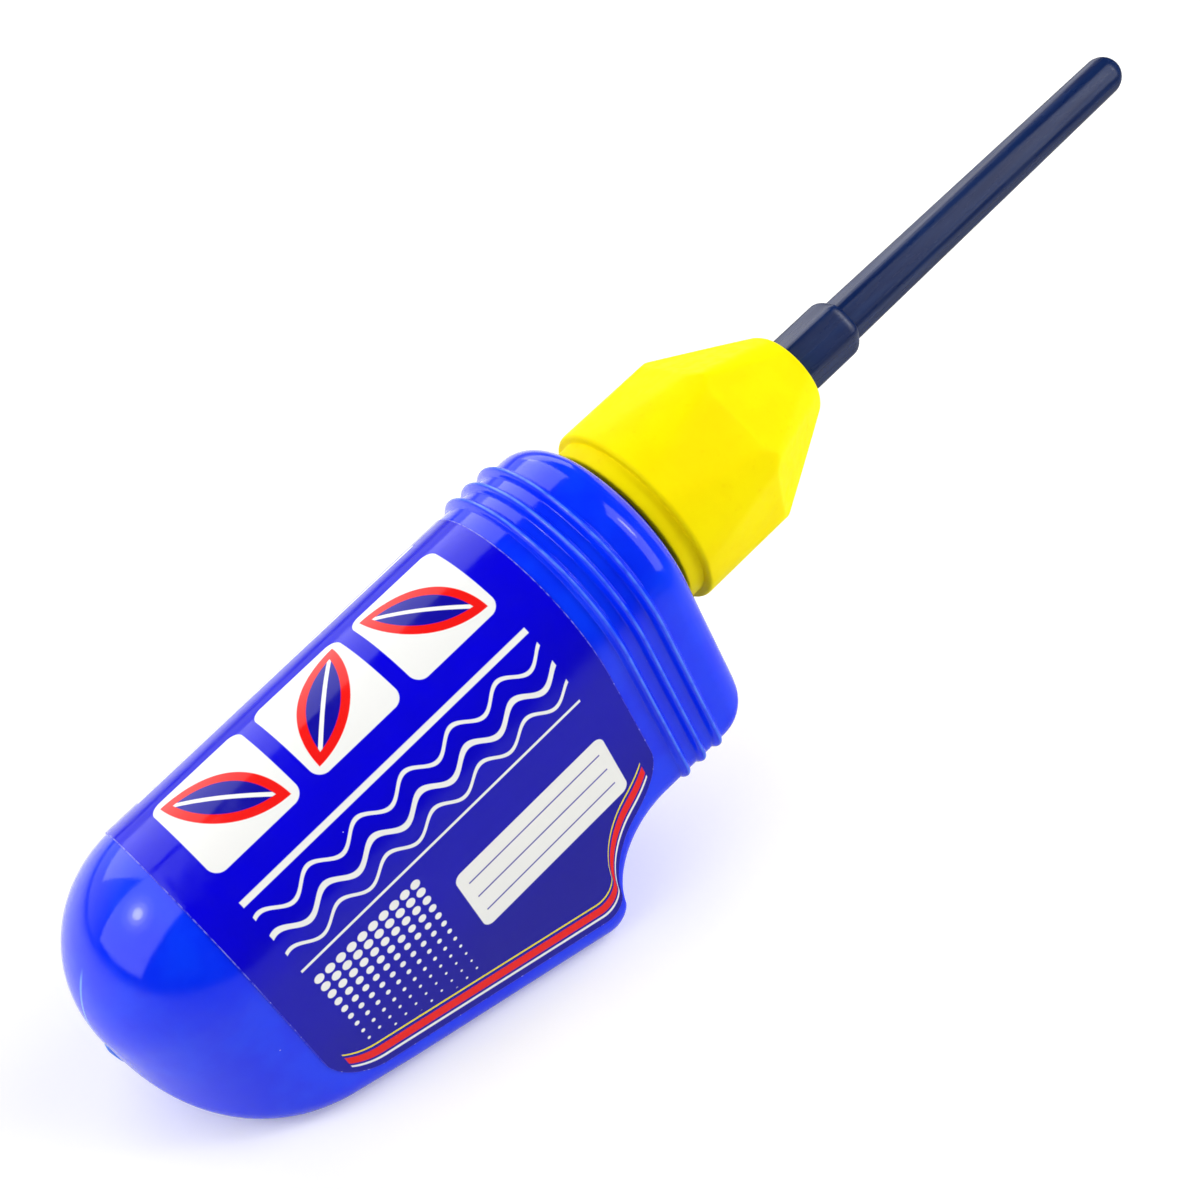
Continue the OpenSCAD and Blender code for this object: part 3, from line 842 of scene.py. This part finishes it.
def cap():
    """Six-sided grip with a round shoulder, and a slim tube whose long facets fade towards its round tip."""
    count = 192
    angle = np.linspace(0, ROUND, count, endpoint=False)
    tip_centre = CAP_END - TIP_RADIUS
    grip = rounded([(CAP_BASE, CAP_RING, 0, 1), (CAP_BASE, GRIP_CORNER, 0.2, 0.5),
                    (GRIP_TOP - GRIP_ROUND, GRIP_CORNER, 0, 0.3)])
    quarter = np.linspace(0, math.pi / 2, 14)
    grip += list(np.column_stack((GRIP_TOP - GRIP_ROUND * (1 - np.sin(quarter)),
                                  mix(TUBE_RADIUS, GRIP_CORNER, np.cos(quarter)))))[1:-1]
    rings = []
    for height, radius in grip:
        flat = mix(TUBE_RADIUS, GRIP_FLAT, (radius - TUBE_RADIUS) / (GRIP_CORNER - TUBE_RADIUS))
        sides = six_sided(angle, flat)
        rings.append(circle(soft_min(np.full(count, radius), sides, GRIP_SOFTNESS), height, count))
    for height in np.linspace(GRIP_TOP, tip_centre, 40):
        share = (height - GRIP_TOP) / (tip_centre - GRIP_TOP)
        radius = mix(TUBE_RADIUS, TIP_RADIUS, share)
        sides = six_sided(angle, radius * mix(TUBE_FLAT, 1.0, share ** 2))
        rings.append(circle(soft_min(np.full(count, radius), sides, TUBE_SOFTNESS), height, count))
    for bend in np.linspace(0, math.pi / 2, 16)[1:-1]:
        rings.append(circle(TIP_RADIUS * math.cos(bend), tip_centre + TIP_RADIUS * math.sin(bend), count))
    hollow = rounded([
        (CAP_BORE_END, CAP_BORE_RING, 0, 1), (CAP_BORE_END, CAP_BORE, 0.3, 3),
        (SOCKET_END + SOCKET_CONE, CAP_BORE, 0, 1), (SOCKET_END, SOCKET_RADIUS, 0, 1.5),
        (CAP_BASE, SOCKET_RADIUS, 0.2, 1), (CAP_BASE, CAP_RING, 0, 1)])
    inside = [circle(radius, height, count) for height, radius in hollow[:-1]]
    tip = np.array([[0.0, 0.0, CAP_END]])
    end = np.array([[0.0, 0.0, CAP_BORE_END]])
    piece = skin("needle_sleeve", [end] + inside + rings + [tip], navy)
    return dress(piece, "cap", "navy_plastic", "needle_cap")


bottle()
pinch_seam()
label()
collar()
needle()
cap()
for node_name, material in (("sealing_washer", foam()), ("cement", liquid())):
    for material_slot in frame["nodes"][node_name].material_slots:
        material_slot.material = material


# Floor, world, lamps and camera

LAMP_TARGET = Vector((0.01, 0.0, 0.03))


def direction(azimuth, elevation):
    """Unit vector at an azimuth counted from +X and an elevation, in degrees."""
    turn, rise = math.radians(azimuth), math.radians(elevation)
    return Vector((math.cos(turn) * math.cos(rise), math.sin(turn) * math.cos(rise), math.sin(rise)))


def seen_share(n):
    """1 for what the camera sees, straight, in gloss or through clear pieces, and 0 for falling light."""
    seen, gloss, clear = (n.node("LightPath", output="Is " + kind + " Ray")
                          for kind in ("Camera", "Glossy", "Transmission"))
    return n.math("MAXIMUM", n.math("MAXIMUM", seen, gloss), clear)


def floor():
    p = Paint("studio_floor")
    tone = p.blend(p.span(p.noise(0.02, 3), 0.3, 0.7), (0.86, 0.855, 0.81, 1), (0.88, 0.875, 0.83, 1))
    where = p.node("TexCoord", output="Object")
    away = p.node("VectorMath", {0: where}, output="Value", operation="LENGTH")
    behind = p.node("VectorMath", {0: where, 1: direction(110, 0)}, output="Value", operation="DOT_PRODUCT")
    # Seen in gloss the floor is painted darker towards the front and far off, as painted shade of a dim room
    lit = p.math("MULTIPLY", p.span(behind, -0.06, 0.06, 0.44, 1.0), p.span(away, 0.45, 0.06, 0.15, 1.0))
    dim = p.math("MULTIPLY", p.node("LightPath", output="Is Glossy Ray"), p.math("SUBTRACT", 1.0, lit))
    tone = p.blend(dim, tone, (0, 0, 0, 1))
    glow = p.math("MULTIPLY", seen_share(p), p.span(away, 0.25, 0.9, 0.19, 1.0))
    glow = p.math("MULTIPLY", glow, p.math("SUBTRACT", 1.0, dim))
    p.finish(Base_Color=tone, Roughness=0.9, Specular_IOR_Level=0.0, Emission_Color=(1, 1, 1, 1),
             Emission_Strength=glow)
    corners = [(-3, -3, 0), (3, -3, 0), (3, 3, 0), (-3, 3, 0)]
    mesh = bpy.data.meshes.new("studio_floor")
    mesh.from_pydata(corners, [], [(0, 1, 2, 3)])
    mesh.materials.append(p.material)
    ground = bpy.data.objects.new("studio_floor", mesh)
    bpy.context.scene.collection.objects.link(ground)


def world():
    """White where the camera looks, grey for falling light, and in gloss a room bright behind the bottle."""
    falling_light = 0.18
    made = bpy.data.worlds.new("studio")
    bpy.context.scene.world = made
    made.use_nodes = True
    n = Nodes(made.node_tree)
    where = n.node("TexCoord", output="Generated")
    towards = n.node("VectorMath", {0: where, 1: direction(100, 0)}, output="Value", operation="DOT_PRODUCT")
    room = n.span(towards, 0.55, 1.0, 0.03, 1.0)
    level = falling_light
    for ray, strength in (("Is Glossy Ray", room), ("Is Camera Ray", 1.0)):
        level = n.node("Mix", {0: n.node("LightPath", output=ray), 2: level, 3: strength})
    background = made.node_tree.nodes["Background"]
    background.inputs["Color"].default_value = (1, 1, 1, 1)
    n.feed(background.inputs["Strength"], level)


def softbox(name, azimuth, elevation, size, power, in_gloss=True, lean=0.0, shape="RECTANGLE", far=1.0):
    """Area lamp some metres from the bottle, in a direction counted from +X, mirrored in gloss or not.
    A lean in degrees turns its top towards larger azimuths."""
    lamp = bpy.data.lights.new(name, "AREA")
    lamp.shape = shape
    lamp.size, lamp.size_y = size
    lamp.energy = power
    away = direction(azimuth, elevation)
    made = bpy.data.objects.new(name, lamp)
    made.location = LAMP_TARGET + away * far
    facing = (-away).to_track_quat("-Z", "Y")
    made.rotation_euler = (facing @ Quaternion((0, 0, 1), -math.radians(lean))).to_euler()
    made.visible_glossy = in_gloss
    bpy.context.scene.collection.objects.link(made)


def camera():
    right = Vector((0.73713, -0.67560, -0.01474))
    up = Vector((0.44965, 0.47390, 0.75711))
    back = Vector((-0.50453, -0.56460, 0.65316))
    place = Vector((-0.06996, -0.10823, 0.15174))
    data = bpy.data.cameras.new("photo_view")
    data.sensor_width = 36.0
    data.lens = 60.0
    data.clip_start = 0.01
    data.clip_end = 20.0
    made = bpy.data.objects.new("photo_view", data)
    turn = Matrix((right, up, back)).transposed().to_4x4()
    made.matrix_world = Matrix.Translation(place) @ turn
    bpy.context.scene.collection.objects.link(made)
    bpy.context.scene.camera = made


floor()
world()
softbox("window_tail", 171, 37, (0.90, 1.28), 6.8)
for width, power, far in ((0.50, 0.42, 0.99), (0.30, 0.45, 0.98), (0.15, 0.50, 0.97)):
    softbox("window_tail_glow", 165, 40, (width, width), power, shape="ELLIPSE", far=far)
softbox("window_back", 93, 36, (0.95, 0.85), 5.2)
softbox("window_low", 55, 13, (0.60, 0.28), 0.8)
softbox("window_front", -43, 38, (0.52, 1.15), 4.0, lean=15)
softbox("window_front_core", -38, 46, (0.10, 0.30), 0.8, lean=15)
softbox("fill_low", -50, 10, (0.80, 0.60), 1.6, in_gloss=False)
softbox("fill_nose", -4, 18, (0.80, 0.60), 5.5, in_gloss=False)
camera()
bpy.context.scene.view_settings.view_transform = "Standard"
